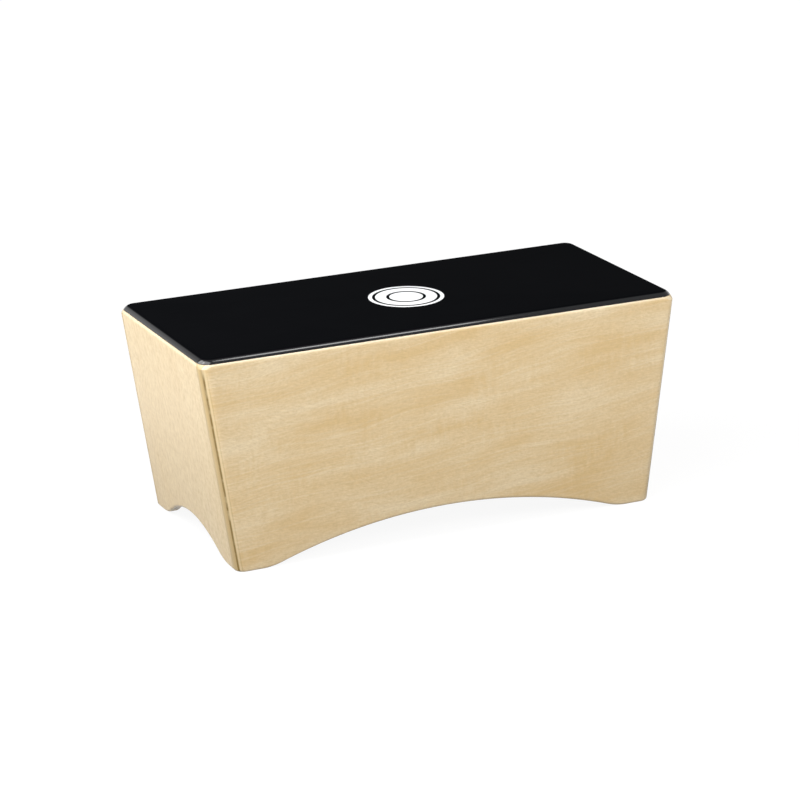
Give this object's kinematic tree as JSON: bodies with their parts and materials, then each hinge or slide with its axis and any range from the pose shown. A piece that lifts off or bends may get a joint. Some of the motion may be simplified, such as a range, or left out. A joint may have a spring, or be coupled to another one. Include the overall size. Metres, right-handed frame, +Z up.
{
  "type": "bongo cajon",
  "caption": "Bongo cajon: glued plywood box with leaning ends and arched feet, parted inside into a large and a small chamber under a black lacquered playing plate.",
  "frame": {"origin": "under the middle of the box, on the plane of the four feet", "axes": "+X along the box, towards the small high chamber; +Y from the front panel to the rear panel; +Z up"},
  "size_m": [0.399, 0.18, 0.1703],
  "materials": {
    "plate_lacquer": "black lacquer, satin on the face and glossy on the arris",
    "long_panel_veneer": "satin clear lacquer on pale plywood, grain along the box",
    "end_panel_veneer": "satin clear lacquer on pale plywood, grain across the box",
    "divider_ply": "bare sanded plywood",
    "batten_wood": "bare planed softwood"
  },
  "bodies": {
    "root": {"playing_plate": "plate_lacquer", "front_panel": "long_panel_veneer", "rear_panel": "long_panel_veneer", "left_end_panel": "end_panel_veneer", "right_end_panel": "end_panel_veneer", "chamber_divider": "divider_ply", "front_low_rail": "batten_wood", "rear_low_rail": "batten_wood", "front_high_rail": "batten_wood", "rear_high_rail": "batten_wood", "left_end_rail": "batten_wood", "right_end_rail": "batten_wood", "front_left_corner_block": "batten_wood", "rear_left_corner_block": "batten_wood", "rear_right_corner_block": "batten_wood", "front_right_corner_block": "batten_wood"}
  },
  "joints": []
}
